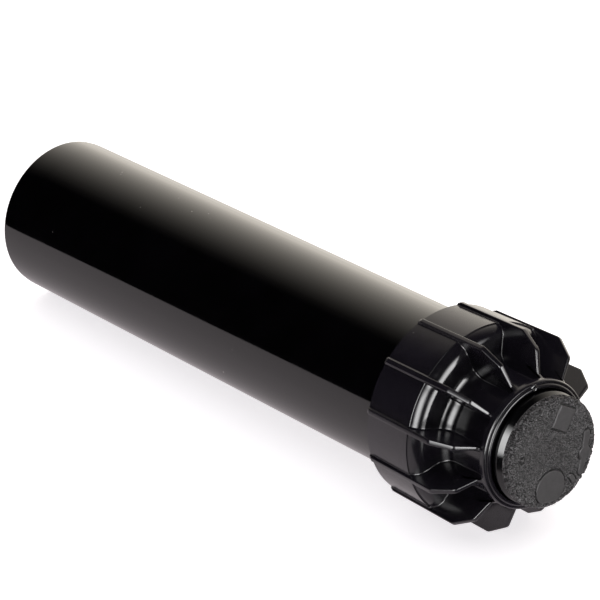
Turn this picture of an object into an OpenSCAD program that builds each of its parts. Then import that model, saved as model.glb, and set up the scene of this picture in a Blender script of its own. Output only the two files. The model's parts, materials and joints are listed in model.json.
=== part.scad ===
// Gear driven pop up sprinkler: a long case with a finned screw cap, and inside it a sprung riser that
// carries a filter, a turbine, a reduction gear train and a turning nozzle turret.
// Origin: centre of the inlet at the base. +Z is the way the riser pops up. Millimetres.

/* [Case] */
// Height from the base to the top of the turret, riser down
overall_h = 228.6; // [226:0.2:232]
// Outer radius of the case at its base
case_r_base = 24.25; // [24:0.05:24.5]
// Outer radius of the case under the cap
case_r_top = 25.15; // [25:0.05:25.18]
// Radius of the bore that the riser slides in
case_bore_r = 21.4; // [21.3:0.05:21.5]
// Height of the floor above the inlet
floor_z = 15.5; // [15.5:0.1:16]
// Crest radius of the half inch pipe thread in the inlet
inlet_r = 9.25; // [9.1:0.05:9.4]
// Length of the inlet thread
inlet_len = 13; // [12.5:0.1:13]

/* [Cap] */
// Height of the rear edge of the cap's skirt
skirt_z = 182; // [181:0.2:183]
// Height of the flat shoulder that the fins stand on
shoulder_z = 201.8; // [201.6:0.1:202.2]
// Height of the top of the collar
collar_z = 221.3; // [221:0.1:221.6]
// Outer radius of the skirt
skirt_r = 29.5; // [29.3:0.1:29.8]
// Outer radius of the neck
neck_r = 19.1; // [19:0.1:19.3]
// Outer radius of the fins
fin_r = 31; // [30.8:0.1:31.4]
// Thickness of a fin
fin_t = 1.8; // [1.4:0.1:2.2]
// Number of fins
fin_count = 12; // [8:1:16]

/* [Riser] */
// Pop up travel
travel = 150; // [100:1:152]
// Outer radius of the riser tube
riser_r = 15.2; // [15.1:0.05:15.25]
// Inner radius of the riser tube
riser_bore_r = 13.4; // [13.3:0.05:13.5]
// Wire diameter of the retraction spring
spring_wire = 1.4; // [1.2:0.1:1.5]
// Turns of the retraction spring
spring_turns = 11; // [8:1:11]

/* [Turret] */
// Outer radius of the turret
turret_r = 16.3; // [16.1:0.05:16.35]
// Direction that the nozzle points in, seen from above
nozzle_az = -60; // [-180:5:180]
// Upward tilt of the nozzle
nozzle_tilt = 25; // [20:1:26]
// Radius of the nozzle's orifice
orifice_r = 1.7; // [1:0.1:2.2]

/* [Gears] */
// Module of the reduction gears
gear_m = 0.3; // [0.3:0.01:0.3]
// Teeth on each wheel
wheel_teeth = 24; // [24:1:24]
// Teeth on each pinion
pinion_teeth = 12; // [12:1:12]
// Teeth on the arc ring
arc_teeth = 40; // [40:1:40]
// Module of the arc setting gears
arc_m = 0.4; // [0.4:0.01:0.4]

/* [Hidden] */
$fn = 64;

// Colours
black_plastic = [0.05, 0.05, 0.055];
grey_plastic = [0.32, 0.33, 0.35];
white_plastic = [0.86, 0.86, 0.82];
blue_plastic = [0.16, 0.3, 0.55];
rubber_black = [0.09, 0.09, 0.09];
steel = [0.7, 0.71, 0.73];
brass = [0.78, 0.62, 0.3];

// Case
case_top_z = 198;
flare_z = 183;
thread_root_r = 25.2;
thread_crest_r = 26.4;
seat_shelf_z = 195.2;
seat_shelf_r = 22.6;
boss_r = 13.6;
floor_t = 2.4;
rib_count = 4;
rib_in_r = 18.5;
rib_w = 2;
rib_top_z = 190;
base_rib_count = 8;
thread_pitch = 1.814;
thread_depth = 1.1;
thread_turns = 6;
case_thread_z = [187.4, 191.4, 195.4];
cap_thread_pitch = 4;

// Cap
skirt_in_r = 26.9;
cap_thread_in_r = 25.7;
cap_under_z = 199.6;
seal_pocket_r = 17.5;
seal_pocket_z = 205.2;
mouth_r = 17.25;
clamp_r = 22.4;
edge_r = 2;
collar_r = 19.75;
fin_corner_z = 209;
fin_mid = [27.1, 215.7];
fin_end = [19.4, 218.7];
pip_r = 0.9;

// Seal and spring
o_ring_r = 0.8;
o_ring_mean_r = 23.8;
spring_mean_r = 16.9;
seal_lip_r = riser_r + 0.08;

// Riser
check_z = floor_z + 0.55;
plate_z = check_z + 1.75;
tube_z = plate_z + 4.2;
flange_r = 18.1;
flange_t = 2;
ratchet_z = tube_z + flange_t + 0.1;
ratchet_h = 3.5;
ratchet_r = 19.2;
tube_top_z = 203.6;
spring_bottom_z = ratchet_z + ratchet_h + 0.05;

// Stator, bypass and turbine
stator_z = 112;
stator_t = 3;
post_r = 2;
post_top_z = 124;
bypass_in_r = 3.6;
bypass_out_r = 6.2;
bypass_lift = 2;
clip_z = 122.2;
turbine_z = 125;
turbine_r = 9.4;
turbine_shaft_r = 0.75;

// Gear case and gear train
gear_base_z = 133;
gear_base_t = 2.6;
gear_case_r = 10.9;
gear_case_in_r = 9.9;
level_z0 = gear_base_z + gear_base_t + 0.6;
level_pitch = 3;
wheel_t = 1.6;
gear_lid_z = 155;
gear_lid_t = 2.4;
centre_dist = gear_m * (wheel_teeth + pinion_teeth) / 2 + 0.05;
shaft_a_az = 0;
shaft_b_az = 60;
gear_pin_r = 0.6;
pin_gap = 0.06;
flank_gap = 0.035;

// Turret
turret_z = 204.4;
deck_z = 207.4;
top_deck_z = 221.4;
housing_top_z = 224.6;
rim_r = 17;
rim_z = 222.3;
cover_r = 16.3;
stem_r = 4.6;
stem_in_r = 3.4;
stem_lid_z = 159;
stem_top_z = 211;
socket_r = 6;
nozzle_z = 209.5;
nozzle_bore_r = 3.6;
nozzle_end = turret_r / cos(nozzle_tilt);
screw_r = 1.2;
screw_x = 12.4;
adjuster_dist = arc_m * (arc_teeth + pinion_teeth) / 2 + 0.08;
adjuster_az = nozzle_az + 165;
arc_z = 205.2;
arc_t = 1.7;

// Trip
trip_az = 150;
trip_x = 11.2;
trip_rod_r = 0.7;

// ---------------------------------------------------------------- helpers

// Ring with a rectangular section
module ring(r_out, r_in, z0, z1) {
    translate([0, 0, z0])
        difference() {
            cylinder(r = r_out, h = z1 - z0);
            translate([0, 0, -1])
                cylinder(r = r_in, h = z1 - z0 + 2);
        }
}

// Disc or rod between two heights
module rod(r, z0, z1) {
    translate([0, 0, z0])
        cylinder(r = r, h = z1 - z0);
}

// Copies of the children turned evenly about Z
module around(count, start = 0) {
    for (i = [0 : count - 1])
        rotate([0, 0, start + i * 360 / count])
            children();
}

// Points of an arc, centre c, radius r, from angle a0 to a1
function arc(c, r, a0, a1, n = 6) =
    [for (i = [0 : n]) let (a = a0 + (a1 - a0) * i / n) [c[0] + r * cos(a), c[1] + r * sin(a)]];

// Involute function, degrees
function inv(phi) = tan(phi) * 180 / PI - phi;

// Half angle of a tooth at radius rho
function tooth_half(z, m, rho, pa, gap) =
    let (r = z * m / 2, rb = r * cos(pa))
    90 / z - gap * 180 / PI / r + inv(pa) - inv(acos(min(1, rb / max(rho, rb))));

// Outline of an involute gear with a tooth centred at angle 0
function gear_points(z, m, pa = 25, gap = flank_gap, steps = 4) =
    let (
        r = z * m / 2,
        rb = r * cos(pa),
        tip = r + 0.9 * m,
        root = r - 1.3 * m,
        low = max(rb, root + 0.05),
        foot = (tooth_half(z, m, low, pa, gap) + 180 / z) / 2
    )
    [for (k = [0 : z - 1])
        let (c = k * 360 / z)
        each concat(
            [polar(root, c - foot)],
            [for (i = [0 : steps])
                let (rho = low + (tip - low) * i / steps)
                polar(rho, c - tooth_half(z, m, rho, pa, gap))],
            [for (i = [steps : -1 : 0])
                let (rho = low + (tip - low) * i / steps)
                polar(rho, c + tooth_half(z, m, rho, pa, gap))],
            [polar(root, c + foot)]
        )];

function polar(r, a) = [r * cos(a), r * sin(a)];

// Angle of the driven gear's tooth, so that it meshes with a driver whose tooth is at angle a_driver and
// whose axis sees the driven axis in direction line_az
function mesh_angle(z_driver, a_driver, z_driven, line_az) =
    (z_driver * (line_az - a_driver) + z_driven * (line_az + 180) - 180) / z_driven;

// Spur gear, from z0 up by h, with a tooth at angle a and a bore
module spur(z, m, a, z0, h, bore) {
    translate([0, 0, z0])
        rotate([0, 0, a])
            difference() {
                linear_extrude(height = h)
                    polygon(gear_points(z, m));
                translate([0, 0, -1])
                    cylinder(r = bore, h = h + 2, $fn = 32);
            }
}

// Helical wire swept from z0 to z1, with closed end turns
module coil(mean_r, wire, z0, z1, turns, per_turn = 20, sides = 6) {
    n = turns * per_turn;
    low = z0 + wire / 2;
    high = z1 - wire / 2;
    dead = wire * 1.04;
    function height_at(t) =
        t < 1 ? low + dead * t :
        t > turns - 1 ? high - dead * (turns - t) :
        low + dead + (high - low - 2 * dead) * (t - 1) / (turns - 2);
    points = [for (i = [0 : n]) let (t = i / per_turn) for (j = [0 : sides - 1])
        let (
            s = (j + 0.5) * 360 / sides,
            r = mean_r + wire / 2 * cos(s)
        )
        [r * cos(t * 360), r * sin(t * 360), height_at(t) + wire / 2 * sin(s)]];
    walls = [for (i = [0 : n - 1]) for (j = [0 : sides - 1])
        let (k = (j + 1) % sides)
        [i * sides + j, (i + 1) * sides + j, (i + 1) * sides + k, i * sides + k]];
    first = [for (j = [0 : sides - 1]) j];
    last = [for (j = [sides - 1 : -1 : 0]) n * sides + j];
    polyhedron(points, concat(walls, [first, last]), convexity = 10);
}

// ---------------------------------------------------------------- case group

// Half section of the case: outer wall, flare and thread crests, seal shelf and bore
function case_section() = concat(
    [[case_bore_r, 0]],
    arc([case_r_base - 1.3, 1.3], 1.3, -90, 0),
    [[case_r_top, flare_z], [thread_root_r, flare_z + 3]],
    [for (z = case_thread_z) each [
        [thread_root_r, z - 1.3], [thread_crest_r, z - 0.6],
        [thread_crest_r, z + 0.6], [thread_root_r, z + 1.3]]],
    [[thread_root_r, case_top_z - 1.2], [thread_root_r - 1.2, case_top_z]],
    [[seat_shelf_r, case_top_z], [seat_shelf_r, seat_shelf_z], [case_bore_r, seat_shelf_z]]
);

// Half section of the inlet boss and floor, with the thread as grooves
function boss_section() = concat(
    [[boss_r, 0], [boss_r, floor_z - floor_t], [case_bore_r + 0.5, floor_z - floor_t],
     [case_bore_r + 0.5, floor_z], [10.9, floor_z], [10.7, floor_z + 0.5], [9.3, floor_z + 0.5],
     [9.1, floor_z], [8, floor_z], [8, inlet_len], [inlet_r, inlet_len]],
    [for (i = [thread_turns - 1 : -1 : 0])
        let (z = 1.8 + i * thread_pitch)
        each [[inlet_r, z + 0.55], [inlet_r + thread_depth, z + 0.1],
              [inlet_r + thread_depth, z - 0.1], [inlet_r, z - 0.55]]],
    [[inlet_r, 0]]
);

module case_body() {
    color(black_plastic) {
        rotate_extrude($fn = 96)
            polygon(case_section());
        rotate_extrude($fn = 96)
            polygon(boss_section());
        around(base_rib_count, 22.5)
            translate([boss_r - 0.4, -0.9, 1.5])
                cube([case_bore_r - boss_r + 0.8, 1.8, floor_z - 2.5]);
        around(rib_count)
            translate([rib_in_r, -rib_w / 2, floor_z - 0.5])
                cube([case_bore_r - rib_in_r + 0.6, rib_w, rib_top_z - floor_z + 0.5]);
    }
}

// Half section of the cap between its fins
function cap_section() = concat(
    [[skirt_in_r, skirt_z], [skirt_r - 0.5, skirt_z], [skirt_r - 0.1, skirt_z + 0.4],
     [skirt_r + 0.35, shoulder_z - edge_r - 0.5], [skirt_r + 0.05, shoulder_z - edge_r - 0.3]],
    arc([skirt_r - edge_r, shoulder_z - edge_r], edge_r, 5, 90, 8),
    arc([neck_r + 2.4, shoulder_z + 2.4], 2.4, 270, 180, 8),
    [[neck_r, collar_z - 3.6]],
    arc([collar_r - 0.9, collar_z - 2.4], 0.9, -70, 0, 3),
    arc([collar_r - 0.5, collar_z - 0.5], 0.5, 0, 90, 4),
    [[mouth_r + 0.5, collar_z], [mouth_r + 0.15, collar_z - 0.15], [mouth_r, collar_z - 0.5],
     [mouth_r, seal_pocket_z], [seal_pocket_r, seal_pocket_z],
     [seal_pocket_r, case_top_z + 0.05], [clamp_r, case_top_z + 0.05], [clamp_r, cap_under_z],
     [25.3, cap_under_z], [25.7, cap_under_z - 0.4]],
    [for (i = [2 : -1 : 0])
        let (z = case_thread_z[i] + 2)
        each [[i == 2 ? 25.7 : skirt_in_r, z + 1.1], [cap_thread_in_r, z + 0.5],
              [cap_thread_in_r, z - 0.5], [skirt_in_r, z - 1.1]]]
);

// One fin, from the skirt's rear edge over the shoulder to the neck
module fin() {
    rotate([90, 0, 0])
        translate([0, 0, -fin_t / 2])
            linear_extrude(height = fin_t)
                polygon(concat(
                    [[skirt_r - 1, skirt_z + 0.2], [fin_r - 1.1, skirt_z + 0.2]],
                    arc([fin_r - 1.2, skirt_z + 1.2], 0.9, -60, 0, 3),
                    [[fin_r, fin_corner_z], fin_mid, fin_end, [neck_r - 0.6, fin_end[1]],
                     [neck_r - 0.6, shoulder_z - 1.2], [skirt_r - 1, shoulder_z - 2.6]]));
}

module body_cap() {
    color(black_plastic) {
        rotate_extrude($fn = 96)
            polygon(cap_section());
        around(fin_count, 180 / fin_count)
            fin();
        translate([mouth_r + 0.85, 0, collar_z - 0.6])
            cylinder(r = pip_r, h = 0.95, $fn = 24);
    }
}

module cap_o_ring() {
    color(rubber_black)
        translate([0, 0, case_top_z + o_ring_r])
            rotate_extrude()
                translate([o_ring_mean_r, 0])
                    circle(r = o_ring_r - 0.02, $fn = 20);
}

// Flange clamped by the cap, with a lip that wipes the riser
module riser_seal() {
    color(rubber_black)
        rotate_extrude()
            polygon([
                [seal_lip_r + 0.6, 196.45], [seat_shelf_r - 0.1, 196.45], [seat_shelf_r - 0.1, case_top_z],
                [seal_pocket_r - 0.1, case_top_z], [seal_pocket_r - 0.1, 203.6],
                [seal_pocket_r - 0.9, 204.1], [seal_lip_r + 0.7, 202.6], [seal_lip_r, 203.2],
                [seal_lip_r, 202.2], [seal_lip_r + 0.55, 200.4], [seal_lip_r, 199.2], [seal_lip_r, 198.4]
            ]);
}

module seal_retainer() {
    color(grey_plastic)
        rotate_extrude()
            polygon([
                [15.6, seat_shelf_z + 0.02], [seat_shelf_r - 0.1, seat_shelf_z + 0.02],
                [seat_shelf_r - 0.1, 196.4], [15.9, 196.4], [15.6, 196]
            ]);
}

module retraction_spring() {
    color(steel)
        coil(spring_mean_r, spring_wire, spring_bottom_z, seat_shelf_z - 0.05, spring_turns);
}

// ---------------------------------------------------------------- riser group

module ratchet_ring() {
    color(white_plastic)
        difference() {
            ring(ratchet_r, riser_r + 0.08, ratchet_z, ratchet_z + ratchet_h);
            around(rib_count)
                translate([rib_in_r - 0.4, -rib_w / 2 - 0.4, ratchet_z - 1])
                    cube([3, rib_w + 0.8, ratchet_h + 2]);
            around(24, 7.5)
                translate([16.6, 0, ratchet_z - 0.5])
                    cylinder(r = 0.5, h = 1.2, $fn = 16);
        }
}

module riser_tube() {
    color(black_plastic)
        difference() {
            union() {
                rod(riser_r, tube_z, tube_top_z);
                rod(flange_r, tube_z, tube_z + flange_t);
            }
            rod(riser_bore_r, tube_z - 1, tube_top_z + 1);
        }
}

module check_seal() {
    color(rubber_black)
        rotate_extrude()
            polygon([
                [0, check_z], [12.4, check_z], [12.7, check_z + 0.3], [12.7, plate_z - 0.05],
                [2.9, plate_z - 0.05], [2.9, plate_z + 1.4], [3.5, plate_z + 1.5], [2.2, plate_z + 2.6],
                [0, plate_z + 2.6]
            ]);
}

module filter_screen() {
    basket_top = 62;
    color(white_plastic) {
        ring(13, 2.95, plate_z, plate_z + 1.35);
        around(6)
            translate([10.6, -1.1, plate_z + 0.6])
                cube([2.2, 2.2, 6]);
        ring(riser_bore_r - 0.05, 10.6, tube_z + 0.3, tube_z + 4);
        difference() {
            ring(12, 11, tube_z + 2, basket_top);
            for (z = [tube_z + 6 : 3.6 : basket_top - 5])
                around(9, (z * 10) % 40)
                    translate([10, -3.2, z])
                        cube([4, 6.4, 1.6]);
        }
        rod(12, basket_top - 0.6, basket_top + 1);
        around(3)
            translate([10.5, -0.8, basket_top])
                cube([riser_bore_r - 10.6, 1.6, 2]);
    }
}

module stator() {
    color(grey_plastic)
        difference() {
            union() {
                rod(riser_bore_r - 0.05, stator_z, stator_z + stator_t);
                rod(post_r, stator_z, post_top_z);
            }
            difference() {
                ring(bypass_out_r, bypass_in_r, stator_z - 1, stator_z + stator_t + 1);
                around(3)
                    translate([0, -0.7, stator_z - 2])
                        cube([8, 1.4, stator_t + 4]);
            }
            around(10)
                translate([10, 0, stator_z + stator_t / 2])
                    rotate([42, 0, 0])
                        cube([3.6, 1.5, 12], center = true);
            ring(post_r + 1, post_r - 0.35, clip_z, clip_z + 0.7);
            rod(turbine_shaft_r + 0.05, post_top_z - 4, post_top_z + 1);
        }
}

module bypass_valve() {
    low = stator_z + stator_t + 0.03;
    color(blue_plastic)
        difference() {
            union() {
                rod(7, low, low + 1.2);
                rod(3.1, low, low + 2.4);
            }
            rod(post_r + 0.08, low - 1, low + 4);
        }
}

module bypass_spring() {
    color(steel)
        coil(2.72, 0.4, stator_z + stator_t + 2.48, clip_z - 0.05, 5, 16, 6);
}

module spring_clip() {
    color(steel)
        difference() {
            ring(3.6, post_r - 0.33, clip_z + 0.05, clip_z + 0.65);
            translate([0, -1.2, clip_z - 1])
                cube([5, 2.4, 3]);
        }
}

// Turbine rotor with flat tilted blades between a hub and a rim
module turbine() {
    color(white_plastic)
        difference() {
            union() {
                rod(2.6, turbine_z, turbine_z + 6.4);
                intersection() {
                    ring(turbine_r - 0.3, 2.2, turbine_z + 0.4, turbine_z + 5.4);
                    around(12)
                        translate([6, 0, turbine_z + 2.9])
                            rotate([-38, 0, 0])
                                cube([8, 0.6, 9], center = true);
                }
                ring(turbine_r, turbine_r - 0.7, turbine_z + 0.4, turbine_z + 5.4);
            }
            rod(turbine_shaft_r, turbine_z - 1, turbine_z + 8);
        }
}

module turbine_shaft() {
    color(steel)
        rod(turbine_shaft_r, post_top_z - 3.8, level_z0 + 2.4);
}

module turbine_pinion() {
    color(white_plastic)
        spur(pinion_teeth, gear_m, 0, level_z0 - 0.4, 2.4, turbine_shaft_r);
}

function shaft_at(az) = [centre_dist * cos(az), centre_dist * sin(az), 0];

module gear_case_base() {
    color(grey_plastic)
        difference() {
            rod(gear_case_r, gear_base_z, gear_base_z + gear_base_t);
            rod(turbine_shaft_r + 0.05, gear_base_z - 1, gear_base_z + 4);
            for (az = [shaft_a_az, shaft_b_az])
                translate(shaft_at(az))
                    rod(gear_pin_r, gear_base_z + 0.8, gear_base_z + 4);
        }
}

module gear_case_shell() {
    low = gear_base_z + gear_base_t;
    color(grey_plastic)
        difference() {
            union() {
                rod(gear_case_r, low, gear_lid_z + gear_lid_t);
                around(4, 45)
                    translate([gear_case_r - 0.3, -0.7, low + 1])
                        cube([riser_bore_r - gear_case_r + 0.22, 1.4, gear_lid_z - low]);
            }
            rod(gear_case_in_r, low - 1, gear_lid_z);
            rod(2.46, gear_lid_z - 1, gear_lid_z + 4);
            for (az = [shaft_a_az, shaft_b_az])
                translate(shaft_at(az))
                    rod(gear_pin_r, gear_lid_z - 1, gear_lid_z + 1.4);
        }
}

module gear_pin(az) {
    color(steel)
        translate(shaft_at(az))
            rod(gear_pin_r, gear_base_z + 0.85, gear_lid_z + 1.35);
}

// Direction of each mesh line: the turbine pinion, then from pin to pin, then back to the middle
line_ab = 120;
mesh_line = [shaft_a_az, line_ab, line_ab + 180, line_ab, line_ab + 180, shaft_a_az + 180];
function wheel_angle(k) = mesh_angle(pinion_teeth, 0, wheel_teeth, mesh_line[k - 1]);

// Compound gear k: a wheel at level k and a pinion that drives level k + 1
module compound_gear(k) {
    az = k % 2 == 1 ? shaft_a_az : shaft_b_az;
    z = level_z0 + (k - 1) * level_pitch;
    color(k % 2 == 1 ? white_plastic : blue_plastic)
        translate(shaft_at(az)) {
            spur(wheel_teeth, gear_m, wheel_angle(k), z, wheel_t, gear_pin_r + pin_gap);
            spur(pinion_teeth, gear_m, 0, z + wheel_t, level_pitch + 0.3, gear_pin_r + pin_gap);
        }
}

// Bent wire that throws the shift arm over centre
module toggle_spring() {
    color(steel)
        rotate([0, 0, trip_az])
            translate([trip_x - 4.3, 0, gear_lid_z + gear_lid_t + 0.02])
                ring(1.5, 1.05, 0, 0.5);
}

module top_bearing() {
    low = 186;
    color(white_plastic)
        difference() {
            union() {
                rod(riser_bore_r - 0.05, low, 203);
                rod(8.6, 202, 203.8);
            }
            rod(stem_r + 0.05, low - 1, 205);
            ring(7.2, stem_r - 1, 196, 199.2);
            ring(12.6, 8.8, 200.5, 204);
            rotate([0, 0, trip_az])
                translate([trip_x, 0, 0])
                    rod(trip_rod_r + 0.05, low - 1, 205);
            around(6, trip_az + 30)
                translate([9.6, 0, low - 1])
                    rod(1.9, 0, 11);
        }
}

module stem_seal() {
    color(rubber_black)
        rotate_extrude()
            polygon([
                [7.1, 196.1], [7.1, 199.1], [6.2, 199.1], [5.6, 197.6], [5.2, 199.1], [stem_r + 0.05, 199.1],
                [stem_r + 0.05, 198.4], [4.95, 196.1]
            ]);
}

module thrust_washer_upper() {
    color(brass)
        ring(8.4, 6.3, 203.83, 204.3);
}

module thrust_washer_lower() {
    color(brass)
        ring(7.8, stem_r + 0.1, 185.2, 185.95);
}

// ---------------------------------------------------------------- reversing trip

module at_trip() {
    rotate([0, 0, trip_az])
        translate([trip_x, 0, 0])
            children();
}

// Collar on the rod with the finger that stands in the bearing's groove
module trip_lever() {
    color(blue_plastic)
        at_trip()
            difference() {
                union() {
                    rod(1.15, 200.7, 203.6);
                    translate([-0.4, 0, 201.2])
                        cube([0.8, 2.4, 2.4]);
                }
                rod(trip_rod_r, 200, 204);
            }
}

module trip_rod() {
    color(steel)
        at_trip()
            rod(trip_rod_r, gear_lid_z + gear_lid_t + 0.3, 203.2);
}

module shift_arm() {
    z = gear_lid_z + gear_lid_t + 0.6;
    color(blue_plastic)
        at_trip()
            difference() {
                union() {
                    rod(1.6, z, z + 2);
                    translate([-6, -0.8, z])
                        cube([6, 1.6, 1.2]);
                }
                rod(trip_rod_r, z - 1, z + 3);
            }
}

// ---------------------------------------------------------------- turret group

module output_gear() {
    color(white_plastic)
        spur(wheel_teeth, gear_m, wheel_angle(6), level_z0 + 5 * level_pitch, wheel_t, 1.6);
}

// Solid shaft through the gear case lid, then a tube with water ports
module drive_stem() {
    color(grey_plastic)
        difference() {
            union() {
                rod(1.6, level_z0 + 5 * level_pitch - 0.2, gear_lid_z);
                rod(2.4, gear_lid_z - 0.6, stem_lid_z + 1);
                rod(stem_r, stem_lid_z, stem_top_z);
            }
            rod(stem_in_r, stem_lid_z + 2, stem_top_z + 1);
            around(4, 45)
                translate([0, -1.7, stem_lid_z + 3])
                    cube([6, 3.4, 9]);
            ring(stem_r + 1, stem_r - 0.5, 184.2, 185);
        }
}

module stem_clip() {
    color(steel)
        difference() {
            ring(7, stem_r - 0.48, 184.25, 184.95);
            translate([0, -1.8, 183])
                cube([9, 3.6, 4]);
        }
}

// Places the children with X along the nozzle's axis
module at_nozzle() {
    rotate([0, 0, nozzle_az])
        translate([0, 0, nozzle_z])
            rotate([0, -nozzle_tilt, 0])
                rotate([0, 90, 0])
                    children();
}

module at_adjuster() {
    rotate([0, 0, adjuster_az])
        translate([adjuster_dist, 0, 0])
            children();
}

module nozzle_housing() {
    color(black_plastic)
        difference() {
            union() {
                difference() {
                    union() {
                        rod(turret_r, turret_z, housing_top_z);
                        rod(rim_r, rim_z, rim_z + 1.3);
                        translate([0, 0, rim_z + 1.3])
                            cylinder(r1 = rim_r, r2 = turret_r, h = 0.7);
                    }
                    rod(turret_r - 2, turret_z - 1, deck_z);
                    rod(turret_r - 2, deck_z + 2, top_deck_z);
                }
                rod(socket_r, turret_z, stem_top_z + 2);
                intersection() {
                    at_nozzle()
                        rod(5, 0, nozzle_end + 3);
                    rod(turret_r - 0.5, turret_z, housing_top_z);
                }
                at_adjuster()
                    rod(2.9, deck_z, top_deck_z + 1);
            }
            rod(stem_r, turret_z - 1, stem_top_z);
            rod(stem_in_r, turret_z, stem_top_z + 0.6);
            at_nozzle()
                rod(nozzle_bore_r, 4, nozzle_end + 4);
            at_nozzle()
                rod(2.6, 0.5, 6);
            at_adjuster()
                rod(1.56, deck_z - 1, housing_top_z + 1);
            rotate([0, 0, nozzle_az])
                translate([screw_x, 0, 0])
                    rod(screw_r + 0.08, 214, housing_top_z + 1);
        }
}

module nozzle() {
    color(blue_plastic)
        at_nozzle()
            difference() {
                union() {
                    rod(nozzle_bore_r - 0.05, 7, nozzle_end - 2);
                    rod(nozzle_bore_r - 0.3, 7, nozzle_end - 1.6);
                }
                rod(orifice_r, 6, nozzle_end + 1);
                translate([0, 0, 7])
                    cylinder(r1 = 2.8, r2 = orifice_r, h = 5, $fn = 32);
                ring(nozzle_bore_r + 1, nozzle_bore_r - 0.6, 8.2, 9.2);
                rotate([0, 0, 180])
                    translate([2.1, -1, nozzle_end - 5])
                        cube([3, 2, 8]);
            }
}

module nozzle_o_ring() {
    color(rubber_black)
        at_nozzle()
            translate([0, 0, 8.7])
                rotate_extrude($fn = 40)
                    translate([nozzle_bore_r - 0.33, 0])
                        circle(r = 0.27, $fn = 16);
}

module rubber_cover() {
    low = housing_top_z + 0.02;
    top = overall_h;
    color(rubber_black)
        difference() {
            rotate_extrude($fn = 96)
                polygon([
                    [0, low + 1.9], [12.6, low + 1.9], [14.6, low], [cover_r - 0.1, low],
                    [cover_r, low + 0.3], [cover_r, top - 0.8], [cover_r - 0.25, top - 0.3],
                    [cover_r - 0.8, top], [0, top]
                ]);
            at_adjuster()
                rod(1.4, low, top + 1);
            rotate([0, 0, nozzle_az])
                translate([screw_x, 0, 0])
                    rod(1.3, low - 1, top + 1);
        }
}

// Toothed ring that rides on the stem socket, with the movable trip tab
module arc_ring() {
    color(blue_plastic)
        difference() {
            union() {
                translate([0, 0, arc_z])
                    linear_extrude(height = arc_t)
                        polygon(gear_points(arc_teeth, arc_m));
                rod(7.2, arc_z - 0.7, arc_z + 0.5);
                translate([-11.6, -1.2, arc_z - 0.7])
                    cube([5.6, 2.4, 0.5]);
                translate([-11.6, -1.2, arc_z - 1.15])
                    cube([1.6, 2.4, 0.7]);
            }
            rod(socket_r + 0.08, arc_z - 2, arc_z + arc_t + 1);
        }
}

module arc_adjuster() {
    pinion_a = mesh_angle(arc_teeth, 0, pinion_teeth, adjuster_az) - adjuster_az;
    color(brass)
        at_adjuster()
            difference() {
                union() {
                    spur(pinion_teeth, arc_m, pinion_a, arc_z + 0.1, 1.7, 0.01);
                    rod(1.5, arc_z + 0.1, 225.2);
                }
                translate([0, 0, 224.8])
                    cube([1.9, 0.5, 1.6], center = true);
                translate([0, 0, 224.8])
                    cube([0.5, 1.9, 1.6], center = true);
            }
}

module range_screw() {
    color(steel)
        rotate([0, 0, nozzle_az])
            translate([screw_x, 0, 0])
                difference() {
                    rod(screw_r, 219.6, 225.2);
                    translate([0, 0, 224.4])
                        cylinder(r = 0.65, h = 2, $fn = 6);
                }
}

case_body();
body_cap();
cap_o_ring();
riser_seal();
seal_retainer();
retraction_spring();
ratchet_ring();
riser_tube();
check_seal();
filter_screen();
stator();
spring_clip();
bypass_spring();
gear_case_base();
gear_case_shell();
gear_pin(shaft_a_az);  // gear_shaft_a
gear_pin(shaft_b_az);  // gear_shaft_b
toggle_spring();
top_bearing();
stem_seal();
thrust_washer_upper();
thrust_washer_lower();
bypass_valve();
turbine();
turbine_shaft();
turbine_pinion();
compound_gear(1);  // gear_1
compound_gear(2);  // gear_2
compound_gear(3);  // gear_3
compound_gear(4);  // gear_4
compound_gear(5);  // gear_5
trip_lever();
trip_rod();
shift_arm();
output_gear();
drive_stem();
stem_clip();
nozzle_housing();
nozzle();
nozzle_o_ring();
rubber_cover();
arc_ring();
arc_adjuster();
range_screw();
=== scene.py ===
"""Looks for a gear driven pop up sprinkler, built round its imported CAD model.

The sprinkler lies on a pale table, on its base rim and two fins of its cap. +X points up from the table and
+Z is the way the riser pops up. Lengths in this script are in millimetres and become metres in mesh code.
"""
import json
import math

import bmesh
import bpy
from mathutils import Matrix, Vector, noise


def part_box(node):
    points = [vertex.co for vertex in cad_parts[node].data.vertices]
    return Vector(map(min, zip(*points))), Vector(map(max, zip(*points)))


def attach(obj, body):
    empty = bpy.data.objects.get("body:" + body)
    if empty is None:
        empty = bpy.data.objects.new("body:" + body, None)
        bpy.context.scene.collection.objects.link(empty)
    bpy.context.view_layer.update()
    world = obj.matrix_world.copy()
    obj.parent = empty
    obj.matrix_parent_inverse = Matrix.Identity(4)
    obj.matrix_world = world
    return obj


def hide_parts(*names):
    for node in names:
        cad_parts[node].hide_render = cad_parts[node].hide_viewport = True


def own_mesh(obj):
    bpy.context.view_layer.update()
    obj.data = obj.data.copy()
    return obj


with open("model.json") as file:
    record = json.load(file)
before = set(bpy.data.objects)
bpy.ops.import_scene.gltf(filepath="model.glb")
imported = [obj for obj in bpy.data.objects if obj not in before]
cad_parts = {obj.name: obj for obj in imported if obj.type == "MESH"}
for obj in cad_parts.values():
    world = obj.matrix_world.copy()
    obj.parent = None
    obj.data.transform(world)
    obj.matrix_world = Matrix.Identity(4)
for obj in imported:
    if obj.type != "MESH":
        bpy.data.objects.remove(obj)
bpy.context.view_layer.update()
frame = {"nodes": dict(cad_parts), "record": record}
RECORD = frame["record"]
MM = 0.001

# noise_vector draws its offsets from a generator that starts from the clock unless it is seeded
NOISE_SEED = 7
noise.seed_set(NOISE_SEED)

# ------------------------------------------------------------------ sizes, from the frame
def box_in_mm(node):
    """Lowest and highest corners of a CAD node, in millimetres."""
    return [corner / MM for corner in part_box(node)]


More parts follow.
